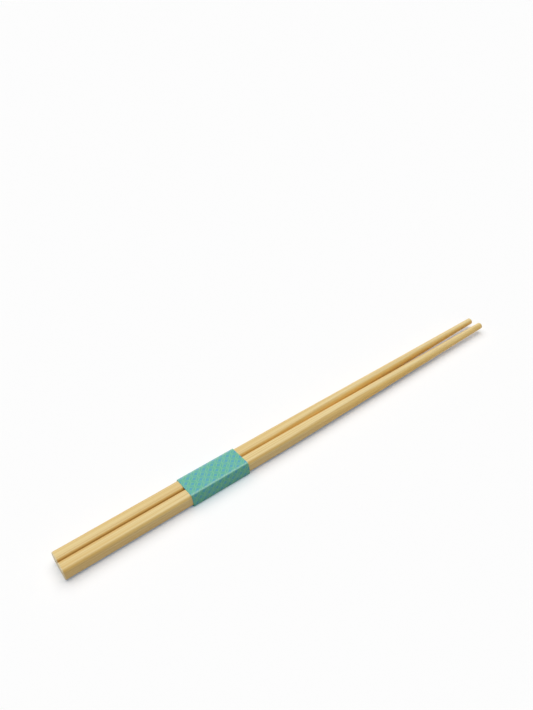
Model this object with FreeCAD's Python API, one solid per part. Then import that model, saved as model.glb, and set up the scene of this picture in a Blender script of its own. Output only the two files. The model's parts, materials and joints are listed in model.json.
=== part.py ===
"""A pair of bamboo chopsticks held side by side by a folded paper band.

Millimetres. The sticks lie along X, from their square butt ends at -X to their round tips at +X.
+Z is up. The origin is under the middle of the pair, on the surface that the band rests on.
"""
import FreeCAD, Part
import math
import os

# Stick sizes
STICK_LENGTH = 240.0      # butt end to tip
STICK_WIDTH = 6.0         # across the square part, along Y
STICK_HEIGHT = 5.7        # square part, along Z
EDGE_RADIUS = 1.7         # long edges of the square part
TAPER_START = 102.0       # distance from the butt at which the turning starts to bite on the corners
TIP_DIAMETER = 3.3
TIP_BACK_INSET = 0.3      # from the plane of the bar's +Y face to the tip: that side runs nearly straight
TIP_TOP_INSET = 0.9       # from the plane of the bar's top face to the tip
BUTT_ROUNDING = 0.45
TIP_ROUNDING = 0.45

# How the pair lies
BUTT_GAP = 0.1            # between the two sticks at the butt ends
SPLAY_ANGLE = 0.05        # degrees that each stick is turned outwards

# Paper band
PAPER = 0.15              # thickness of one ply
PAPER_CLEARANCE = 0.03    # between the paper and the wood
BAND_START = 54.0         # distance from the butt ends
BAND_LENGTH = 27.8        # along the sticks
FOLD_RADIUS = 0.4         # outside radius of the folds
LEAN_ANGLE = 16.0         # degrees by which the walls lean in over the sticks' rounded top edges
SHOULDER_RADIUS = 2.0     # outside, where the leaning part of a wall meets its upright part
LAP_SETBACK = 0.9         # from the band's side to the edge of the glued lap underneath
TUCK_SETBACK = 1.2        # from the band's side to the end of the ply that is tucked under the sticks

# Places worked out from these
BUTT_X = -STICK_LENGTH / 2
BAND_X = BUTT_X + BAND_START
BAND_END = BAND_START + BAND_LENGTH
STICK_BOTTOM = 2 * PAPER + PAPER_CLEARANCE
STICK_AXIS_Z = STICK_BOTTOM + STICK_HEIGHT / 2
STICK_AXIS_Y = (BUTT_GAP + STICK_WIDTH) / 2
SPREAD_IN_BAND = BAND_END * math.tan(math.radians(SPLAY_ANGLE))
EDGE_CENTRE_Y = BUTT_GAP / 2 + STICK_WIDTH + SPREAD_IN_BAND - EDGE_RADIUS
EDGE_CENTRE_Z = STICK_BOTTOM + STICK_HEIGHT - EDGE_RADIUS
PAPER_REACH = EDGE_RADIUS + PAPER_CLEARANCE
OUTER_HALF_WIDTH = EDGE_CENTRE_Y + PAPER_REACH + PAPER

X_DIRECTION = FreeCAD.Vector(1, 0, 0)
Z_DIRECTION = FreeCAD.Vector(0, 0, 1)


def end_edges(shape, x):
    """The edges of a shape that lie in the plane at x."""
    return [edge for edge in shape.Edges if all(abs(v.X - x) < 1e-4 for v in edge.Vertexes)]


def lengthwise_edges(shape, wanted):
    """The edges of a shape that run along X and whose height is wanted."""
    lengthwise = [edge for edge in shape.Edges if abs(edge.tangentAt(edge.FirstParameter).x) > 0.5]
    return [edge for edge in lengthwise if wanted(edge.CenterOfMass.z)]


def square_bar():
    """The planed blank: a bar with rounded long edges, its axis on X, its butt at x = 0."""
    corner = FreeCAD.Vector(0, -STICK_WIDTH / 2, -STICK_HEIGHT / 2)
    bar = Part.makeBox(STICK_LENGTH, STICK_WIDTH, STICK_HEIGHT, corner)
    return bar.makeFillet(EDGE_RADIUS, lengthwise_edges(bar, lambda z: True))


def turned_cone():
    """The cone that the far end is turned to, which leaves the flats running out in long tongues."""
    corner_reach = math.hypot(STICK_WIDTH / 2 - EDGE_RADIUS, STICK_HEIGHT / 2 - EDGE_RADIUS) + EDGE_RADIUS
    start = FreeCAD.Vector(TAPER_START, 0, 0)
    tip_y = (STICK_WIDTH - TIP_DIAMETER) / 2 - TIP_BACK_INSET
    tip_z = (STICK_HEIGHT - TIP_DIAMETER) / 2 - TIP_TOP_INSET
    tip = FreeCAD.Vector(STICK_LENGTH, tip_y, tip_z)
    axis = tip - start
    narrowing = (corner_reach - TIP_DIAMETER / 2) / axis.Length
    axis.normalize()
    behind = TAPER_START + STICK_WIDTH
    beyond = STICK_LENGTH - TAPER_START + STICK_WIDTH
    wide_radius = corner_reach + narrowing * behind
    thin_radius = corner_reach - narrowing * beyond
    return Part.makeCone(wide_radius, thin_radius, behind + beyond, start - axis * behind, axis)


def chopstick(side):
    """One stick of the pair; side is +1 for the stick at +Y and -1 for the one at -Y."""
    stick = square_bar().common(turned_cone())
    stick = stick.makeFillet(TIP_ROUNDING, end_edges(stick, STICK_LENGTH))
    stick = stick.makeFillet(BUTT_ROUNDING, end_edges(stick, 0))
    stick.rotate(FreeCAD.Vector(0, -side * STICK_WIDTH / 2, 0), Z_DIRECTION, side * SPLAY_ANGLE)
    stick.translate(FreeCAD.Vector(BUTT_X, side * STICK_AXIS_Y, STICK_AXIS_Z))
    return stick


def wrapped_bar(reach, bottom, fold_radius, shoulder_radius):
    """What one face of the paper encloses, at this reach from the centres of the rounded top edges."""
    side = EDGE_CENTRE_Y + reach
    shoulder = EDGE_CENTRE_Z + reach * math.tan(math.radians(LEAN_ANGLE / 2))
    fold = EDGE_CENTRE_Y + reach * math.tan(math.radians(45 - LEAN_ANGLE / 2))
    top = EDGE_CENTRE_Z + reach
    half_outline = [(side, bottom), (side, shoulder), (fold, top)]
    outline = half_outline + [(-y, z) for y, z in reversed(half_outline)]
    corners = [FreeCAD.Vector(BAND_X, y, z) for y, z in outline]
    bar = Part.Face(Part.makePolygon(corners + corners[:1])).extrude(X_DIRECTION * BAND_LENGTH)
    bar = bar.makeFillet(shoulder_radius, lengthwise_edges(bar, lambda z: abs(z - shoulder) < PAPER))
    at_folds = lengthwise_edges(bar, lambda z: z < bottom + PAPER or z > top - PAPER)
    return bar.makeFillet(fold_radius, at_folds)


def paper_loop(bottom):
    """A closed loop of one ply round both sticks, the face of its lowest ply at the given height."""
    outside = wrapped_bar(PAPER_REACH + PAPER, bottom, FOLD_RADIUS, SHOULDER_RADIUS)
    inside = wrapped_bar(PAPER_REACH, bottom + PAPER, FOLD_RADIUS - PAPER, SHOULDER_RADIUS - PAPER)
    return outside.cut(inside)


def lower_part(from_y, to_y):
    """The space that holds the lowest plies and their folds between two places across the band."""
    corner = FreeCAD.Vector(BAND_X, from_y, 0)
    return Part.makeBox(BAND_LENGTH, to_y - from_y, PAPER + FOLD_RADIUS, corner)


def paper_band():
    """One strip folded round both sticks: one end is tucked under them, the other is glued over it."""
    lap_edge = -OUTER_HALF_WIDTH + LAP_SETBACK
    tuck_edge = OUTER_HALF_WIDTH - TUCK_SETBACK
    outer_ply = paper_loop(0).cut(lower_part(-OUTER_HALF_WIDTH, lap_edge))
    tucked_ply = paper_loop(PAPER).common(lower_part(-OUTER_HALF_WIDTH, tuck_edge))
    return outer_ply.fuse(tucked_ply).removeSplitter()


def write(name, shape):
    """Write one piece and print what it measures."""
    box = shape.optimalBoundingBox(False, False)
    print(f"{name}: solids {len(shape.Solids)}, valid {shape.isValid()}, volume {shape.Volume:.1f} mm3,",
          f"x {box.XMin:.2f} to {box.XMax:.2f}, y {box.YMin:.2f} to {box.YMax:.2f},",
          f"z {box.ZMin:.2f} to {box.ZMax:.2f}")
    shape.exportStep(os.path.join("parts", name + ".step"))


os.makedirs("parts", exist_ok=True)
write("chopstick_back", chopstick(+1))
write("chopstick_front", chopstick(-1))
write("paper_band", paper_band())
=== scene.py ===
"""Dresses a pair of bamboo chopsticks that a folded, printed paper band holds together."""
import bpy
import bmesh
import json
from math import cos, hypot, pi, radians, sin, tan
from bpy.props import FloatProperty, FloatVectorProperty, PointerProperty
from mathutils import Matrix, Vector

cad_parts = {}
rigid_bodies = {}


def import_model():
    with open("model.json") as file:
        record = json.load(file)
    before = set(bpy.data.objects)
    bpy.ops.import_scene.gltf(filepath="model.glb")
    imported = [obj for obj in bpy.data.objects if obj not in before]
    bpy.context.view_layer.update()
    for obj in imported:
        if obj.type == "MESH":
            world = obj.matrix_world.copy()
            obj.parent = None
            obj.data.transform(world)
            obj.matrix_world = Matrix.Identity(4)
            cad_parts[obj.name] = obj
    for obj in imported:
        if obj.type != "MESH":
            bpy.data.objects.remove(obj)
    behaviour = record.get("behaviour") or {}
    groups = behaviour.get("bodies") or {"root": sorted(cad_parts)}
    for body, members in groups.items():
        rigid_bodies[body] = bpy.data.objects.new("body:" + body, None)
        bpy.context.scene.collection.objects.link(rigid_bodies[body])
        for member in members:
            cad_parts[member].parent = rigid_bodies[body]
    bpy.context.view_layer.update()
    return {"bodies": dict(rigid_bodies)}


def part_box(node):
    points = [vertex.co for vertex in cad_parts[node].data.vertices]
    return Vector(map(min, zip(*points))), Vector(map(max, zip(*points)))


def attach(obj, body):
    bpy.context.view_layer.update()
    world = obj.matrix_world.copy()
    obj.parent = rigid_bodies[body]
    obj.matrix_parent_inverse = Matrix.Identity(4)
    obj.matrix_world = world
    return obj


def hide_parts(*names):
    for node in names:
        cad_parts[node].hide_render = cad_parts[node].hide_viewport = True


bl_info = {
    "name": "Banded Bamboo Chopsticks",
    "version": (1, 0, 0),
    "blender": (4, 5, 0),
    "location": "View3D > Sidebar > Chopsticks",
    "description": "Models two bamboo chopsticks, the paper band round them and a plain studio",
    "category": "Object",
}

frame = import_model()
BODY = next(iter(frame["bodies"]))
STICK_LOW, STICK_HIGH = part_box("chopstick_back")
STICK_LENGTH = STICK_HIGH.x - STICK_LOW.x
BAND_LOW, BAND_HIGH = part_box("paper_band")
BAND_LENGTH = BAND_HIGH.x - BAND_LOW.x

# Lengths are in metres
MM = 0.001
HAIR = 0.01 * MM           # places that differ by less are the same place
COPLANAR = 0.001 * MM      # a corner this close to a plane lies in it

# How finely the meshes are cut
EDGE_SEGMENTS = 6          # round each long edge of a stick
FLAT_CUTS = 7              # across each flat of a stick
RING_CUTS = (99, 1)        # along a stick: a hundred rings, and then each of them halved
CONE_SIDES = 256
TIP_SEGMENTS = 5
BUTT_SEGMENTS = 3
FOLD_SEGMENTS = 4
PLY_CUTS = 11              # across each flat stretch of the band's section
BAND_CUTS = 24             # along the band

# Shader groups, and how their nodes are laid out
FIBRES = "Drawn-out fibres"
WEAR = "Rubbed edge"
NODE_SPACING = 180
END_COLUMN = 100 * NODE_SPACING

# Camera
SENSOR_WIDTH = 36          # millimetres, as the lens is too
NEAREST_SEEN = 10 * MM


# Sizes and colours that a user may change

def size(name, value, description):
    """A length in metres, given here in millimetres."""
    return FloatProperty(name=name, description=description, default=value * MM, unit="LENGTH", precision=5)


def angle(name, value, description):
    """An angle in radians, given here in degrees."""
    return FloatProperty(name=name, description=description, default=radians(value), subtype="ANGLE")


def number(name, value, description):
    """A plain number."""
    return FloatProperty(name=name, description=description, default=value)


def vector(name, value, description, subtype):
    """A place or a direction in space."""
    return FloatVectorProperty(name=name, description=description, size=3, default=value, subtype=subtype)


def colour(name, value, description):
    """A colour given as it looks on screen, 0 to 255."""
    return FloatVectorProperty(
        name=name, description=description, size=3, min=0, max=1, subtype="COLOR_GAMMA",
        default=[channel / 255 for channel in value],
    )


class StickSettings(bpy.types.PropertyGroup):
    """Sizes of a stick and how the pair lies."""
    width: size("Width", 6.0, "Across the square part of a stick")
    height: size("Height", 5.7, "Height of the square part")
    edge_radius: size("Edge radius", 1.7, "Rounding of the long edges")
    taper_start: size("Taper start", 102, "From the butt to where the turning begins")
    run_out: size("Run-out", 50, "From there to where the wood looks turned all round")
    tip_diameter: size("Tip diameter", 3.3, "Across the round tip")
    tip_back_inset: size("Tip back inset", 0.3, "From the plane of the far side face to the tip")
    tip_top_inset: size("Tip top inset", 0.9, "From the plane of the top face to the tip")
    tip_rounding: size("Tip rounding", 0.45, "Rounding of the tip's rim")
    butt_rounding: size("Butt rounding", 0.45, "Rounding of the butt's rim")
    butt_gap: size("Butt gap", 0.1, "Between the two sticks at their butts")
    splay: angle("Splay", 0.05, "Turn of each stick outwards")
    unevenness: size("Unevenness", 0.05, "From the lowest to the highest of the surface's faint waves")
    wave_size: size("Wave size", 9, "How long those waves are")


class BandSettings(bpy.types.PropertyGroup):
    """Sizes of the paper band and of its print."""
    paper: size("Paper", 0.15, "Thickness of one ply")
    fold_radius: size("Fold radius", 0.4, "Outside radius of a fold")
    lap_setback: size("Lap setback", 0.9, "From the side to the edge of the glued lap")
    tuck_setback: size("Tuck setback", 1.2, "From the side to the end of the tucked ply")
    clearance: size("Clearance", 0.03, "Between the paper and the wood")
    lean: angle("Lean", 16, "Lean of the walls over the sticks' rounded top edges")
    shoulder_radius: size("Shoulder radius", 2.0, "Outside, where an upright wall starts to lean in")
    side_crown: size("Side crown", 0.1, "How far the upright walls spring outwards")
    top_sag: size("Top sag", 0.1, "How far the paper sinks between the two sticks")
    sag_middle: size("Sag middle", 0.5, "To each side of the middle, where the paper sinks most")
    sag_reach: size("Sag reach", 1.8, "How far beyond that the paper is drawn down")
    ring_radius: size("Ring radius", 1.976, "Radius of the rings of the print")
    ring_line: size("Ring line", 0.5, "Width of the rings' line where the pen draws it broadest")
    nib_angle: angle("Nib angle", -22.5, "Way across which the pen draws broadest")
    star_along: size("Star along", 1.76, "From the band's end nearer the butts to a star of the print")
    star_across: size("Star across", 0.43, "From the far top fold to that star")
    crease_inset: size("Crease inset", 0.35, "From a top fold to the line that is rubbed most, on the top")


class BambooColours(bpy.types.PropertyGroup):
    """Colours of the wood, and of the painted shade, painted light and painted highlight laid on it."""
    pale: colour("Pale", (228, 206, 148), "Between the fibres")
    golden: colour("Golden", (220, 190, 124), "Warmer stretches")
    fibre: colour("Fibre", (200, 160, 90), "The fibre bundles")
    # Pale fibres of the wood, and also a painted highlight on the top of the turned part
    gleam_and_highlight: colour("Gleam", (238, 223, 176), "A few pale fibres, and the top of the turned part")
    # Painted shade: a deeper, more golden tint on the planed part's rounded long edges
    edge: colour("Edge", (244, 231, 200), "Tint of the rounded long edges")
    # Painted shade: a faint darkening of the planed part's side faces
    flank_shade: colour("Flank", (249, 248, 246), "Tint of the planed part's side faces")
    # Painted shade: the turned part's sides drawn towards a deeper, warmer gold
    honey_shade: colour("Honey", (246, 204, 108), "The sides of the turned part")
    # Painted reflected light: amber where the two sticks face each other near the seam
    seam: colour("Seam", (230, 184, 92), "Where the two sticks shine on each other")
    # Painted shade: the dark in the narrow seam between the two sticks' planed parts
    seam_shade: colour("Deep seam", (160, 108, 30), "The innermost wood between the planed parts")
    end_grain: colour("End grain", (222, 212, 182), "The sawn butt")


class PrintColours(bpy.types.PropertyGroup):
    """Colours of the paper and its print."""
    green: colour("Green", (74, 166, 147), "The ground, where it is greener")
    teal: colour("Teal", (79, 165, 162), "The ground, where it is bluer")
    blue: colour("Blue", (60, 150, 178), "The star inside a ring")
    line: colour("Line", (104, 182, 136), "The rings' own line")
    crease: colour("Crease", (204, 228, 222), "Print worn off along a fold")
    bare: colour("Bare paper", (236, 234, 226), "The unprinted side and the cut edges")


class StudioSettings(bpy.types.PropertyGroup):
    """The camera, the light and the floor."""
    camera_place: vector("Camera place", (-0.131205, -0.164779, 0.185498), "Where the camera stands",
                         "TRANSLATION")
    camera_yaw: angle("Camera yaw", -34.023, "Turn about the vertical")
    camera_pitch: angle("Camera pitch", 34.374, "Look down from level")
    camera_roll: angle("Camera roll", -5.298, "Tilt of the picture")
    camera_lens: number("Camera lens", 30.645, "Focal length in mm on a 36 mm sensor")
    key_strength: number("Key strength", 2.85, "Light of the broad lamp")
    key_breadth: angle("Key breadth", 84, "Angle that the broad lamp fills")
    key_direction: vector("Key direction", (0.06, 0.22, 0.97), "Towards the broad lamp", "DIRECTION")
    fill_strength: number("Fill strength", 0.12, "Light from all round")
    floor_size: size("Floor size", 8000, "Side of the square floor")
    floor: colour("Floor", (242, 234, 226), "What the floor gives back of the light that falls on it")
    backdrop: colour("Backdrop", (253, 253, 253), "How the lit floor and what lies behind it are seen")


# Mesh helpers

def deselect_all():
    """Nothing is selected, and no object is in edit mode."""
    if bpy.context.mode != "OBJECT":
        bpy.ops.object.mode_set(mode="OBJECT")
    bpy.ops.object.select_all(action="DESELECT")


def take(piece):
    """The piece alone is selected, and it is the active one."""
    deselect_all()
    piece.select_set(True)
    bpy.context.view_layer.objects.active = piece


def name_new(name):
    """Names the object just added, with its place baked into its mesh."""
    piece = bpy.context.object
    piece.name = piece.data.name = name
    bpy.ops.object.transform_apply(location=True, rotation=True, scale=True)
    return piece


def edit(piece):
    """Edit mode on one piece."""
    take(piece)
    bpy.ops.object.mode_set(mode="EDIT")


def pick(piece, kind, wanted):
    """In edit mode, selects just what wanted(element) is true for; kind is VERT or EDGE."""
    bpy.ops.mesh.select_mode(type=kind)
    bpy.ops.mesh.select_all(action="DESELECT")
    mesh = bmesh.from_edit_mesh(piece.data)
    elements = {"VERT": mesh.verts, "EDGE": mesh.edges}[kind]
    for element in elements:
        if wanted(element):
            element.select_set(True)
    mesh.select_flush_mode()
    bmesh.update_edit_mesh(piece.data)


def runs_along_x(edge):
    """True for an edge that lies lengthwise."""
    first, second = (vertex.co for vertex in edge.verts)
    return abs(second.x - first.x) > 0.9 * (second - first).length


def in_plane(edge, x):
    """True for an edge that lies in the plane at x."""
    return all(abs(vertex.co.x - x) < COPLANAR for vertex in edge.verts)


def round_off(offset, segments, **more):
    """Rounds the picked edges; offset is measured back from each edge on its two faces."""
    bpy.ops.mesh.bevel(offset=offset, segments=segments, profile=0.5, affect="EDGES", **more)


def apply_modifier(piece, kind, **settings):
    """Adds a modifier with these settings and applies it."""
    take(piece)
    modifier = piece.modifiers.new(kind.title(), kind)
    for key, value in settings.items():
        setattr(modifier, key, value)
    bpy.ops.object.modifier_apply(modifier=modifier.name)


def smooth(piece, sharpest):
    """Smooth shading, apart from edges that turn by more than this angle."""
    take(piece)
    bpy.ops.object.shade_smooth_by_angle(angle=sharpest)


def hand_over(piece, node, slot_name, *materials):
    """The piece stands for its node, takes the materials and goes with the frame's one body."""
    piece.data.materials.clear()
    for material in materials:
        piece.data.materials.append(material)
    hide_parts(node)
    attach(piece, BODY)


# Shader helpers

def rgba(value):
    """A colour on screen as the linear colour that a shader takes."""
    return [c / 12.92 if c <= 0.04045 else ((c + 0.055) / 1.055) ** 2.4 for c in value] + [1.0]


class Tree:
    """Short words for placing and joining shader nodes."""

    def __init__(self, tree):
        self.tree = tree
        self.column = 0

    def put(self, kind, *sources, **settings):
        """Places a node; sources feed its inputs in order, as numbers or as other nodes' outputs."""
        node = self.tree.nodes.new("ShaderNode" + kind)
        self.column += NODE_SPACING
        node.location = (self.column, 0)
        for key, value in settings.items():
            setattr(node, key, value)
        for socket, source in zip(node.inputs, sources):
            self.feed(socket, source)
        return node

    def feed(self, socket, source):
        """Joins a source to an input, or sets the input's own value."""
        if isinstance(source, bpy.types.NodeSocket):
            self.tree.links.new(source, socket)
        else:
            socket.default_value = source

    def math(self, operation, *sources):
        """A Math node's result."""
        return self.put("Math", *sources, operation=operation).outputs[0]

    def times(self, product, *factors):
        """Masks and numbers multiplied together."""
        for factor in factors:
            product = self.math("MULTIPLY", product, factor)
        return product

    def vector(self, operation, *sources):
        """A Vector Math node's result as a vector."""
        return self.put("VectorMath", *sources, operation=operation).outputs["Vector"]

    def measure(self, operation, *sources):
        """A Vector Math node's result as a number."""
        return self.put("VectorMath", *sources, operation=operation).outputs["Value"]

    def ramp(self, source, low, high, to_low=0.0, to_high=1.0):
        """A smooth step from low to high."""
        node = self.put("MapRange", source, low, high, to_low, to_high, interpolation_type="SMOOTHSTEP")
        return node.outputs[0]

    def blend(self, factor, first, second, mode="MIX"):
        """A colour mix; sockets 6 and 7 of the node take the colours, and output 2 gives one."""
        node = self.put("Mix", data_type="RGBA", blend_type=mode)
        self.feed(node.inputs["Factor"], factor)
        self.feed(node.inputs[6], first)
        self.feed(node.inputs[7], second)
        return node.outputs[2]

    def noise(self, vector, scale, detail=2.0):
        """Plain noise, about 0.5 on average."""
        node = self.put("TexNoise")
        self.feed(node.inputs["Vector"], vector)
        self.feed(node.inputs["Scale"], scale)
        self.feed(node.inputs["Detail"], detail)
        return node.outputs["Fac"]

    def group(self, name, **sources):
        """A node group placed with its own values; returns the mask that it makes."""
        node = self.put("Group", node_tree=bpy.data.node_groups[name])
        for label, source in sources.items():
            self.feed(node.inputs[label], source)
        return node.outputs["Mask"]

    def in_view(self):
        """1 where a surface is seen, also in gloss or through glass, and 0 where it only gives light."""
        path = self.put("LightPath").outputs
        seen_in_others = self.math("MAXIMUM", path["Is Glossy Ray"], path["Is Transmission Ray"])
        return self.math("MAXIMUM", path["Is Camera Ray"], seen_in_others)


def fresh_tree(owner):
    """Words for the emptied node tree of a material or a world."""
    owner.use_nodes = True
    owner.node_tree.nodes.clear()
    return Tree(owner.node_tree)


def new_material(name):
    """An empty material with a Principled shader; returns it, its words and the shader."""
    material = bpy.data.materials.new(name)
    words = fresh_tree(material)
    shader = words.put("BsdfPrincipled")
    output = words.put("OutputMaterial", shader.outputs[0])
    shader.location.x = END_COLUMN
    output.location.x = END_COLUMN + 2 * NODE_SPACING
    return material, words, shader


def add_relief(words, shader, height, strength, depth):
    """Fine relief on a material: a height of 0 to 1 stands for a depth in millimetres."""
    bump = words.put("Bump")
    bump.inputs["Strength"].default_value = strength
    bump.inputs["Distance"].default_value = depth * MM
    words.feed(bump.inputs["Height"], height)
    words.feed(shader.inputs["Normal"], bump.outputs["Normal"])


def new_group(name, **numbers):
    """A shader node group that turns a vector and numbers into a mask; returns its words and its ends."""
    tree = bpy.data.node_groups.new(name, "ShaderNodeTree")
    tree.interface.new_socket("Vector", in_out="INPUT", socket_type="NodeSocketVector")
    for label, value in numbers.items():
        socket = tree.interface.new_socket(label, in_out="INPUT", socket_type="NodeSocketFloat")
        socket.default_value = value
    tree.interface.new_socket("Mask", in_out="OUTPUT", socket_type="NodeSocketFloat")
    start = tree.nodes.new("NodeGroupInput")
    end = tree.nodes.new("NodeGroupOutput")
    end.location.x = END_COLUMN
    return Tree(tree), start.outputs, end.inputs["Mask"]


def make_fibres_group():
    """Long streaks: noise drawn out along the first axis."""
    words, given, mask = new_group(FIBRES, Run=50.0, Thickness=0.5, Low=0.5, High=0.65)
    place = words.put("SeparateXYZ", given["Vector"]).outputs
    along = words.math("DIVIDE", place[0], given["Run"])
    across = words.math("DIVIDE", place[1], given["Thickness"])
    depth = words.math("DIVIDE", place[2], given["Thickness"])
    drawn = words.put("CombineXYZ", along, across, depth).outputs[0]
    words.feed(mask, words.ramp(words.noise(drawn, 1.0), given["Low"], given["High"]))


def make_wear_group():
    """Rubbed edges: strong at the edge, broken up by noise, and gone past the reach."""
    words, given, mask = new_group(WEAR, Distance=0.0, Reach=0.4, Grain=1.0)
    near = words.ramp(given["Distance"], 0.0, given["Reach"], 1.0, 0.0)
    patches = words.noise(given["Vector"], given["Grain"], 3.0)
    uneven = words.ramp(patches, 0.3, 0.65, 0.25, 1.0)
    words.feed(mask, words.times(near, uneven))


# Materials

def bamboo_material():
    """Bamboo: long pale gold fibres, with painted shade deepening the rounded edges, side faces and seam,
    painted light in the seam, and painted golden shade on the turned sides with a painted highlight on the
    turned top.
    """
    sticks, colours = bpy.context.scene.stick_settings, bpy.context.scene.bamboo_colours
    material, words, shader = new_material("planed_bamboo")
    surface = words.put("TexCoord")
    millimetres = words.vector("MULTIPLY", surface.outputs["Object"], (1 / MM, 1 / MM, 1 / MM))

    def streaks(run, thickness, low, high):
        """A mask of fibres that run this far and are this thick, in millimetres."""
        return words.group(FIBRES, Vector=millimetres, Run=run, Thickness=thickness, Low=low, High=high)

    def tone(wood, wanted, *masks):
        """The wood drawn towards a colour where all the masks hold."""
        return words.blend(words.times(*masks), wood, rgba(wanted))

    def tint(wood, wanted, *masks):
        """The wood seen through a colour where all the masks hold."""
        tinted = words.blend(1.0, wood, rgba(wanted), "MULTIPLY")
        return words.blend(words.times(*masks), wood, tinted)

    warmth = streaks(run=110.0, thickness=2.2, low=0.35, high=0.65)
    bundles = streaks(run=160.0, thickness=0.55, low=0.47, high=0.68)
    threads = streaks(run=75.0, thickness=0.17, low=0.45, high=0.7)
    gleams = streaks(run=130.0, thickness=0.32, low=0.6, high=0.7)
    flames = streaks(run=30.0, thickness=0.8, low=0.5, high=0.66)
    specks = streaks(run=160.0, thickness=0.25, low=0.54, high=0.64)

    # Masks by place: over the run-out, where the turning cuts into the planed bar, the planed part's
    # painted shade gives way to the turned part's grain, painted shade and painted highlight
    place = words.put("SeparateXYZ", millimetres).outputs
    off_middle = words.math("ABSOLUTE", place[1])
    turning, run_out = (STICK_LOW.x + sticks.taper_start) / MM, sticks.run_out / MM
    planed = words.ramp(place[0], turning, turning + run_out, 1.0, 0.0)
    turned = words.ramp(place[0], turning, turning + run_out, 0.0, 1.0)
    butt_half = words.ramp(place[0], turning - run_out, turning, 1.0, 0.0)
    # How far the seam's painted reflected light reaches
    near_seam = words.ramp(off_middle, 0.2, 3.0, 1.0, 0.0)
    # Painted shade in the seam, darkest where the sticks meet
    innermost = words.ramp(off_middle, 0.15, 0.85, 0.6, 0.0)

    # Masks by the way that the surface faces: where painted shade, painted light and painted highlight lie,
    # and where the butt is sawn
    facing = words.put("SeparateXYZ", surface.outputs["Normal"]).outputs
    endways, sideways, upwards = (words.math("ABSOLUTE", part) for part in facing)
    # Where the rounded long edges lie, which get painted shade
    edge_shade_mask = words.ramp(words.math("MAXIMUM", sideways, upwards), 0.74, 0.99, 1.0, 0.0)
    # Where the side faces lie, which get painted shade
    flank_shade_mask = words.ramp(sideways, 0.75, 1.0)
    # The turned part's sides, which get painted warm shade
    honey_shade_mask = words.ramp(sideways, 0.3, 0.9, 0.0, 0.5)
    # The turned part's top, which gets a painted highlight
    highlight_mask = words.ramp(upwards, 0.75, 1.0, 0.0, 0.25)
    outwards = words.times(facing[1], words.math("SIGN", place[1]))
    # Sides that face the other stick, which get painted reflected light
    seam_bounce_mask = words.ramp(outwards, -0.9, -0.15, 0.58, 0.0)
    sawn = words.ramp(endways, 0.1, 0.4)

    wood = words.blend(warmth, rgba(colours.pale), rgba(colours.golden))
    wood = tone(wood, colours.fibre, bundles, 0.5)
    wood = tone(wood, colours.fibre, threads, 0.34)
    wood = tone(wood, colours.gleam_and_highlight, gleams, 0.5)
    wood = tone(wood, colours.fibre, flames, turned, 0.28)
    # Painted shade on the planed part's rounded long edges
    wood = tint(wood, colours.edge, edge_shade_mask, planed)
    # Painted shade on the planed part's side faces
    wood = tint(wood, colours.flank_shade, flank_shade_mask, planed)
    # Painted warm shade on the sides of the turned part
    wood = tone(wood, colours.honey_shade, honey_shade_mask, turned)
    # Painted highlight on the top of the turned part
    wood = tone(wood, colours.gleam_and_highlight, highlight_mask, turned)
    # Painted reflected light where the two sticks face each other near the seam
    wood = tone(wood, colours.seam, seam_bounce_mask, near_seam)
    # Painted shade in the seam between the planed parts
    wood = tone(wood, colours.seam_shade, innermost, butt_half)
    sawn_wood = words.blend(words.times(specks, 0.55), rgba(colours.end_grain), rgba(colours.fibre))
    words.feed(shader.inputs["Base Color"], words.blend(sawn, wood, sawn_wood))

    roughness = words.ramp(threads, 0.0, 1.0, 0.5, 0.62)
    words.feed(shader.inputs["Roughness"], words.math("MAXIMUM", roughness, words.times(sawn, 0.8)))
    relief = words.math("SUBTRACT", words.times(bundles, -0.5), words.times(threads, 0.5))
    add_relief(words, shader, relief, strength=0.35, depth=0.03)
    shader.inputs["Specular IOR Level"].default_value = 0.35
    return material


def ring_print(words, on_sheet, far_top_fold):
    """Rings drawn with a broad pen, that overlap on a teal ground, with a blue star inside each."""
    colours, band = bpy.context.scene.print_colours, bpy.context.scene.band_settings
    radius, half_line = band.ring_radius / MM, band.ring_line / MM / 2
    across_nib = (cos(band.nib_angle), sin(band.nib_angle), 0)
    star = (band.star_along / MM, (far_top_fold - band.star_across) / MM, 0)
    from_star = words.vector("SUBTRACT", on_sheet, star)

    def rings(shift):
        """For one square grid of rings, the distance from the nearest centre and the mask of the line."""
        moved = words.vector("ADD", from_star, (shift, shift, 0))
        offset = words.vector("WRAP", moved, (radius, radius, 1), (-radius, -radius, -1))
        distance = words.measure("LENGTH", offset)
        nib = words.measure("DOT_PRODUCT", offset, across_nib)
        breadth = words.math("ABSOLUTE", words.math("DIVIDE", nib, distance))
        drawn = words.times(words.math("MAXIMUM", breadth, 0.1), half_line)
        off_line = words.math("ABSOLUTE", words.math("SUBTRACT", distance, radius))
        return distance, words.ramp(words.math("DIVIDE", off_line, drawn), 0.5, 1.4, 1.0, 0.0)

    (to_first, first_line), (to_second, second_line) = rings(0.0), rings(radius)
    past_a_ring = words.math("SUBTRACT", words.math("MAXIMUM", to_first, to_second), radius)
    starry = words.ramp(past_a_ring, 0.0, 0.35)
    line = words.math("MAXIMUM", first_line, second_line)
    drift = words.ramp(words.noise(on_sheet, 0.16), 0.35, 0.65)
    ink_strength = 0.8
    ground = words.blend(drift, rgba(colours.green), rgba(colours.teal))
    starred = words.blend(words.times(starry, ink_strength), ground, rgba(colours.blue))
    return words.blend(words.times(line, ink_strength), starred, rgba(colours.line))


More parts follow.
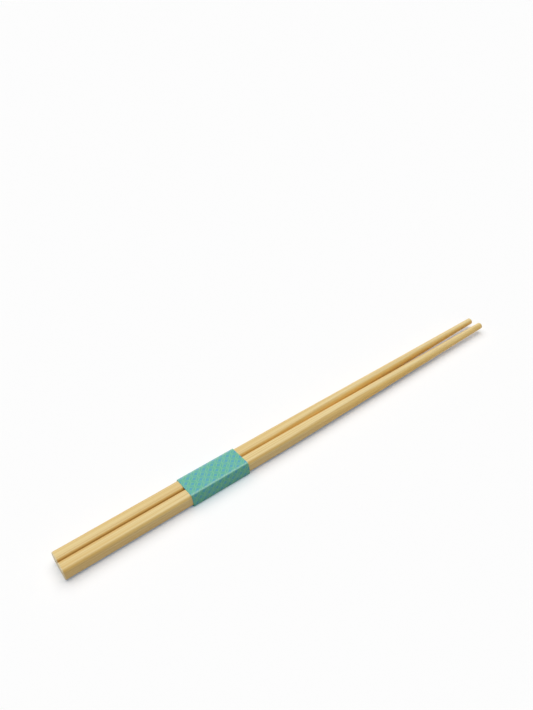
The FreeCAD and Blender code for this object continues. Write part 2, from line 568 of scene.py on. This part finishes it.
def fold_wear(words, on_sheet, fold_places):
    """The mask of the print that is rubbed off: along the lower folds and just inside the top ones."""
    inset = bpy.context.scene.band_settings.crease_inset
    across = words.put("SeparateXYZ", on_sheet).outputs[1]
    rubbed_lines = [fold + shift for fold, shift in zip(fold_places, (0, inset, -inset, 0))]
    distances = [words.math("ABSOLUTE", words.math("SUBTRACT", across, line / MM)) for line in rubbed_lines]
    nearest = distances[0]
    for distance in distances[1:]:
        nearest = words.math("MINIMUM", nearest, distance)
    return words.group(WEAR, Vector=on_sheet, Distance=nearest, Reach=0.8, Grain=1.6)


def print_material(fold_places, strip_length):
    """Printed paper, rubbed pale along its folds; the folds' places are measured along the strip."""
    colours = bpy.context.scene.print_colours
    material, words, shader = new_material("printed_paper")
    sheet_size = (BAND_LENGTH / MM, strip_length / MM, 0)
    on_sheet = words.vector("MULTIPLY", words.put("TexCoord").outputs["UV"], sheet_size)
    printed = ring_print(words, on_sheet, fold_places[2])
    rubbed = fold_wear(words, on_sheet, fold_places)
    grain = words.group(FIBRES, Vector=on_sheet, Run=0.9, Thickness=0.12, Low=0.3, High=0.75)
    printed = words.blend(words.times(grain, 0.04), printed, rgba(colours.bare))
    printed = words.blend(words.times(rubbed, 0.4), printed, rgba(colours.crease))
    words.feed(shader.inputs["Base Color"], printed)
    words.feed(shader.inputs["Roughness"], words.ramp(rubbed, 0.0, 1.0, 0.48, 0.7))
    add_relief(words, shader, words.math("ADD", grain, rubbed), strength=0.3, depth=0.02)
    shader.inputs["Specular IOR Level"].default_value = 0.4
    return material


def bare_paper_material():
    """The unprinted side of the paper and its cut edges, with a faint mottle of fibres."""
    bare = rgba(bpy.context.scene.print_colours.bare)
    material, words, shader = new_material("bare_paper")
    surface = words.put("TexCoord")
    millimetres = words.vector("MULTIPLY", surface.outputs["Object"], (1 / MM, 1 / MM, 1 / MM))
    mottle = words.group(FIBRES, Vector=millimetres, Run=0.8, Thickness=0.15, Low=0.3, High=0.75)
    shade = [channel * 0.9 for channel in bare[:3]] + [1.0]
    words.feed(shader.inputs["Base Color"], words.blend(mottle, bare, shade))
    shader.inputs["Roughness"].default_value = 0.75
    return material


# Sticks

def stick_blank(name):
    """A planed bar with rounded long edges, cut into many short rings, its butt at x = 0."""
    sticks = bpy.context.scene.stick_settings
    deselect_all()
    bpy.ops.mesh.primitive_cube_add(size=1, location=(STICK_LENGTH / 2, 0, 0),
                                    scale=(STICK_LENGTH, sticks.width, sticks.height))
    blank = name_new(name)
    edit(blank)
    pick(blank, "EDGE", runs_along_x)
    round_off(sticks.edge_radius, EDGE_SEGMENTS)
    flat_edge = min(sticks.width, sticks.height) / 2 - sticks.edge_radius
    pick(blank, "EDGE", lambda edge: not runs_along_x(edge) and edge.calc_length() > flat_edge)
    bpy.ops.mesh.subdivide(number_cuts=FLAT_CUTS)
    for cuts in RING_CUTS:
        pick(blank, "EDGE", runs_along_x)
        bpy.ops.mesh.subdivide(number_cuts=cuts)
    return blank


def turning_cone():
    """The cone that the far end of a blank is turned to; its axis leans a little off the bar's own."""
    sticks = bpy.context.scene.stick_settings
    radius = sticks.edge_radius
    corner_reach = hypot(sticks.width / 2 - radius, sticks.height / 2 - radius) + radius
    start = Vector((sticks.taper_start, 0, 0))
    tip = Vector((
        STICK_LENGTH,
        (sticks.width - sticks.tip_diameter) / 2 - sticks.tip_back_inset,
        (sticks.height - sticks.tip_diameter) / 2 - sticks.tip_top_inset,
    ))
    axis = (tip - start).normalized()
    narrowing = (corner_reach - sticks.tip_diameter / 2) / (tip - start).length
    behind = sticks.taper_start + sticks.width
    beyond = (tip - start).length + sticks.width
    deselect_all()
    bpy.ops.mesh.primitive_cone_add(
        vertices=CONE_SIDES, depth=behind + beyond,
        location=start + axis * (beyond - behind) / 2,
        rotation=axis.to_track_quat("Z", "Y").to_euler(),
        radius1=corner_reach + narrowing * behind, radius2=corner_reach - narrowing * beyond,
    )
    return name_new("turning_cone")


def turn_down(stick):
    """Cuts the far end of a stick down to the cone, and eases the lines where the cut ends."""
    cone = turning_cone()
    apply_modifier(stick, "SHRINKWRAP", target=cone, wrap_method="NEAREST_SURFACEPOINT", wrap_mode="INSIDE")
    bpy.data.objects.remove(cone)
    taper_start = bpy.context.scene.stick_settings.taper_start
    turned = stick.vertex_groups.new(name="turned")
    turned.add([v.index for v in stick.data.vertices if v.co.x > taper_start], 1.0, "REPLACE")
    apply_modifier(stick, "SMOOTH", factor=0.5, iterations=3, use_x=False, vertex_group="turned")
    stick.vertex_groups.clear()


def ease_rim(stick, x, rounding, segments):
    """Rounds the rim of the end face that lies at x."""
    edit(stick)
    pick(stick, "EDGE", lambda edge: in_plane(edge, x) and any(len(f.verts) > 4 for f in edge.link_faces))
    round_off(rounding, segments, clamp_overlap=False)
    deselect_all()


def lay_down(stick, side):
    """Puts a stick in its place in the pair, turned outwards about the inner side of its butt."""
    sticks = bpy.context.scene.stick_settings
    inner_side = Matrix.Translation((0, -side * sticks.width / 2, 0))
    splay = inner_side @ Matrix.Rotation(side * sticks.splay, 4, "Z") @ inner_side.inverted()
    axis_y = side * (sticks.butt_gap + sticks.width) / 2
    axis_z = STICK_LOW.z + sticks.height / 2
    stick.matrix_world = Matrix.Translation((STICK_LOW.x, axis_y, axis_z)) @ splay
    take(stick)
    bpy.ops.object.transform_apply(location=True, rotation=True, scale=True)


def make_stick(name, node, side, material):
    """One stick; side is +1 for the one at +Y and -1 for the one at -Y."""
    sticks = bpy.context.scene.stick_settings
    stick = stick_blank(name)
    turn_down(stick)
    ease_rim(stick, STICK_LENGTH, sticks.tip_rounding, TIP_SEGMENTS)
    ease_rim(stick, 0, sticks.butt_rounding, BUTT_SEGMENTS)
    lay_down(stick, side)
    waves = bpy.data.textures.new(name + "_waves", "CLOUDS")
    waves.noise_scale = sticks.wave_size
    apply_modifier(stick, "DISPLACE", texture=waves, texture_coords="LOCAL", mid_level=0.5,
                   strength=sticks.unevenness)
    smooth(stick, radians(35))
    hand_over(stick, node, "bamboo", material)


# Band

def flat_strip(fold_lines, z_top):
    """The printed strip laid flat at the height of the band's top, cut across between its two ends."""
    low, high = fold_lines[0], fold_lines[-1]
    deselect_all()
    middle = ((BAND_LOW.x + BAND_HIGH.x) / 2, (low + high) / 2, z_top)
    bpy.ops.mesh.primitive_plane_add(size=1, location=middle)
    bpy.context.object.scale = (BAND_LENGTH, high - low, 1)
    strip = name_new("printed_band")
    for fold_y in fold_lines[1:-1]:
        edit(strip)
        bpy.ops.mesh.select_all(action="SELECT")
        bpy.ops.mesh.bisect(plane_co=(0, fold_y, z_top), plane_no=(0, 1, 0))
    deselect_all()
    return strip


def fold_down(strip, fold_y, z_top, turn):
    """Turns what lies outside a fold line down about it by an angle."""
    side = 1 if fold_y > 0 else -1
    edit(strip)
    pick(strip, "VERT", lambda v: v.co.y * side > fold_y * side + HAIR)
    bpy.ops.transform.rotate(value=side * turn, orient_axis="X", orient_type="GLOBAL",
                             center_override=(0, fold_y, z_top))
    deselect_all()


def push(strip, wanted, way, reach):
    """Moves what is picked, and carries what lies within reach of it along."""
    edit(strip)
    pick(strip, "VERT", wanted)
    bpy.ops.transform.translate(value=way, use_proportional_edit=True, proportional_edit_falloff="SMOOTH",
                                proportional_size=reach, use_proportional_connected=True)
    deselect_all()


def round_fold(strip, wanted, radius, turn):
    """Rounds the fold lines for which wanted(height) is true; the paper turns by an angle there."""
    edit(strip)
    pick(strip, "EDGE", lambda edge: runs_along_x(edge) and len(edge.link_faces) == 2
         and wanted(edge.verts[0].co.z))
    round_off(radius * tan(turn / 2), FOLD_SEGMENTS)
    deselect_all()


def make_band():
    """The paper band: a strip folded round both sticks, its ends lapped underneath, a little relaxed."""
    band, sticks = bpy.context.scene.band_settings, bpy.context.scene.stick_settings
    half_ply = band.paper / 2
    half = BAND_HIGH.y - half_ply
    z_top, z_lap = BAND_HIGH.z - half_ply, BAND_LOW.z + half_ply
    z_tuck = z_lap + band.paper

    # The section's stretches: from the top fold down the slant to the shoulder, and down the wall
    reach = sticks.edge_radius + band.clearance + half_ply
    crease_turn = pi / 2 - band.lean
    top_fold = half - reach + reach * tan(crease_turn / 2)
    shoulder = z_top - reach + reach * tan(band.lean / 2)
    slant = reach * (tan(crease_turn / 2) + tan(band.lean / 2))
    front_wall, back_wall = shoulder - z_tuck, shoulder - z_lap
    tuck, lap = half + BAND_HIGH.y - band.tuck_setback, half + BAND_HIGH.y - band.lap_setback

    front_lines = [-top_fold, -top_fold - slant, -top_fold - slant - front_wall]
    back_lines = [top_fold, top_fold + slant, top_fold + slant + back_wall]
    low, high = front_lines[-1] - tuck, back_lines[-1] + lap
    strip = flat_strip([low, *reversed(front_lines), *back_lines, high], z_top)
    for lines in (front_lines, back_lines):
        for fold_y, turn in zip(reversed(lines), (pi / 2, band.lean, crease_turn)):
            fold_down(strip, fold_y, z_top, turn)
    round_fold(strip, lambda z: abs(z - shoulder) < HAIR, band.shoulder_radius - half_ply, band.lean)
    round_fold(strip, lambda z: z > z_top - HAIR, band.fold_radius - half_ply, crease_turn)
    round_fold(strip, lambda z: z < z_tuck + HAIR, band.fold_radius - half_ply, pi / 2)

    # The flat stretches are cut finely enough to bend; the facets of the folds are shorter than these
    shortest_flat = 0.8 * MM
    edit(strip)
    pick(strip, "EDGE", lambda edge: not runs_along_x(edge) and edge.calc_length() > shortest_flat)
    bpy.ops.mesh.subdivide(number_cuts=PLY_CUTS)
    pick(strip, "EDGE", runs_along_x)
    bpy.ops.mesh.subdivide(number_cuts=BAND_CUTS)

    # The walls spring outwards, most in their middle, and the top sinks between the two sticks
    wall_middle = (shoulder + z_lap) / 2
    middle_rows = 0.6 * front_wall / (PLY_CUTS + 1)
    for side in (-1, 1):
        push(strip, lambda v: v.co.y * side > half - HAIR and abs(v.co.z - wall_middle) < middle_rows,
             (0, side * band.side_crown, 0), front_wall / 2 - band.fold_radius / 2)
    push(strip, lambda v: v.co.z > z_top - HAIR and abs(v.co.y) < band.sag_middle,
         (0, 0, -band.top_sag), band.sag_reach)

    apply_modifier(strip, "SOLIDIFY", thickness=band.paper, offset=0, use_even_offset=True,
                   material_offset=1, material_offset_rim=1)
    smooth(strip, radians(40))
    fold_places = [line - low for line in (front_lines[2], front_lines[0], back_lines[0], back_lines[2])]
    printed = print_material(fold_places, high - low)
    hand_over(strip, "paper_band", "printed_paper", printed, bare_paper_material())


# Stage

def floor_material():
    """A plain pale floor that a glow lifts to the backdrop's white, and that keeps the object's shadow."""
    studio = bpy.context.scene.studio_settings
    given, wanted = rgba(studio.floor), rgba(studio.backdrop)
    upwards = Vector(studio.key_direction).normalized().z
    light = studio.key_strength * upwards / pi + studio.fill_strength
    lift = [max(0, seen - own * light) for seen, own in zip(wanted[:3], given)]
    material = bpy.data.materials.new("studio_floor")
    words = fresh_tree(material)
    matt = words.put("BsdfDiffuse", given)
    glow = words.put("Emission", (*lift, 1), words.in_view())
    both = words.put("AddShader", matt.outputs[0], glow.outputs[0])
    words.put("OutputMaterial", both.outputs[0])
    return material


def make_world():
    """Even light from all round, seen as the backdrop's own white."""
    studio = bpy.context.scene.studio_settings
    world = bpy.data.worlds.new("studio")
    bpy.context.scene.world = world
    words = fresh_tree(world)
    strength = words.ramp(words.in_view(), 0.0, 1.0, studio.fill_strength, 1.0)
    background = words.put("Background", rgba(studio.backdrop), strength)
    words.put("OutputWorld", background.outputs[0])


def make_stage():
    """The floor, one broad lamp high behind the sticks, and light from all round."""
    studio = bpy.context.scene.studio_settings
    deselect_all()
    bpy.ops.mesh.primitive_plane_add(size=studio.floor_size, location=(0, 0, 0))
    floor = name_new("floor")
    floor.data.materials.append(floor_material())
    towards_lamp = Vector(studio.key_direction)
    bpy.ops.object.light_add(type="SUN", location=towards_lamp,
                             rotation=towards_lamp.to_track_quat("Z", "Y").to_euler())
    lamp = bpy.context.object
    lamp.name = "key_lamp"
    lamp.data.energy = studio.key_strength
    lamp.data.angle = studio.key_breadth
    make_world()


def make_camera():
    """The camera at the photograph's place and angle."""
    studio = bpy.context.scene.studio_settings
    bpy.ops.object.camera_add()
    camera = bpy.context.object
    camera.name = "photo_camera"
    yaw = Matrix.Rotation(studio.camera_yaw, 4, "Z")
    pitch = Matrix.Rotation(pi / 2 - studio.camera_pitch, 4, "X")
    roll = Matrix.Rotation(studio.camera_roll, 4, "Z")
    camera.matrix_world = Matrix.Translation(studio.camera_place) @ yaw @ pitch @ roll
    camera.data.sensor_width = SENSOR_WIDTH
    camera.data.lens = studio.camera_lens
    camera.data.clip_start = NEAREST_SEEN
    bpy.context.scene.camera = camera


# Operators

class StickMaker(bpy.types.Operator):
    """Model both chopsticks"""
    bl_idname = "chopsticks.make_sticks"
    bl_label = "Make Sticks"

    def execute(self, context):
        material = bamboo_material()
        make_stick("bamboo_stick_back", "chopstick_back", 1, material)
        make_stick("bamboo_stick_front", "chopstick_front", -1, material)
        return {"FINISHED"}


class BandMaker(bpy.types.Operator):
    """Fold the printed paper band round the sticks"""
    bl_idname = "chopsticks.make_band"
    bl_label = "Make Band"

    def execute(self, context):
        make_band()
        return {"FINISHED"}


class StageMaker(bpy.types.Operator):
    """Set up the floor, the light and the camera"""
    bl_idname = "chopsticks.make_stage"
    bl_label = "Make Stage"

    def execute(self, context):
        make_stage()
        make_camera()
        context.scene.view_settings.view_transform = "Standard"
        return {"FINISHED"}


class ChopsticksPanel(bpy.types.Panel):
    """The makers, and the sizes and colours that they use"""
    bl_idname = "VIEW3D_PT_chopsticks"
    bl_label = "Banded Chopsticks"
    bl_space_type = "VIEW_3D"
    bl_region_type = "UI"
    bl_category = "Chopsticks"

    def draw(self, context):
        for operator in OPERATORS:
            self.layout.operator(operator.bl_idname)
        for group in SETTINGS:
            settings = getattr(context.scene, group)
            for key in settings.__annotations__:
                self.layout.prop(settings, key)


OPERATORS = (StageMaker, StickMaker, BandMaker)
SETTINGS = {
    "stick_settings": StickSettings,
    "band_settings": BandSettings,
    "bamboo_colours": BambooColours,
    "print_colours": PrintColours,
    "studio_settings": StudioSettings,
}


def register():
    """Makes the settings, the operators and the panel known."""
    for kind in (*SETTINGS.values(), *OPERATORS, ChopsticksPanel):
        bpy.utils.register_class(kind)
    for name, kind in SETTINGS.items():
        setattr(bpy.types.Scene, name, PointerProperty(type=kind))


def unregister():
    """Takes them away again."""
    for name in SETTINGS:
        delattr(bpy.types.Scene, name)
    for kind in (ChopsticksPanel, *reversed(OPERATORS), *reversed(SETTINGS.values())):
        bpy.utils.unregister_class(kind)


def main():
    """Makes everything in order."""
    register()
    make_fibres_group()
    make_wear_group()
    bpy.ops.chopsticks.make_stage()
    bpy.ops.chopsticks.make_sticks()
    bpy.ops.chopsticks.make_band()


if __name__ == "__main__":
    main()
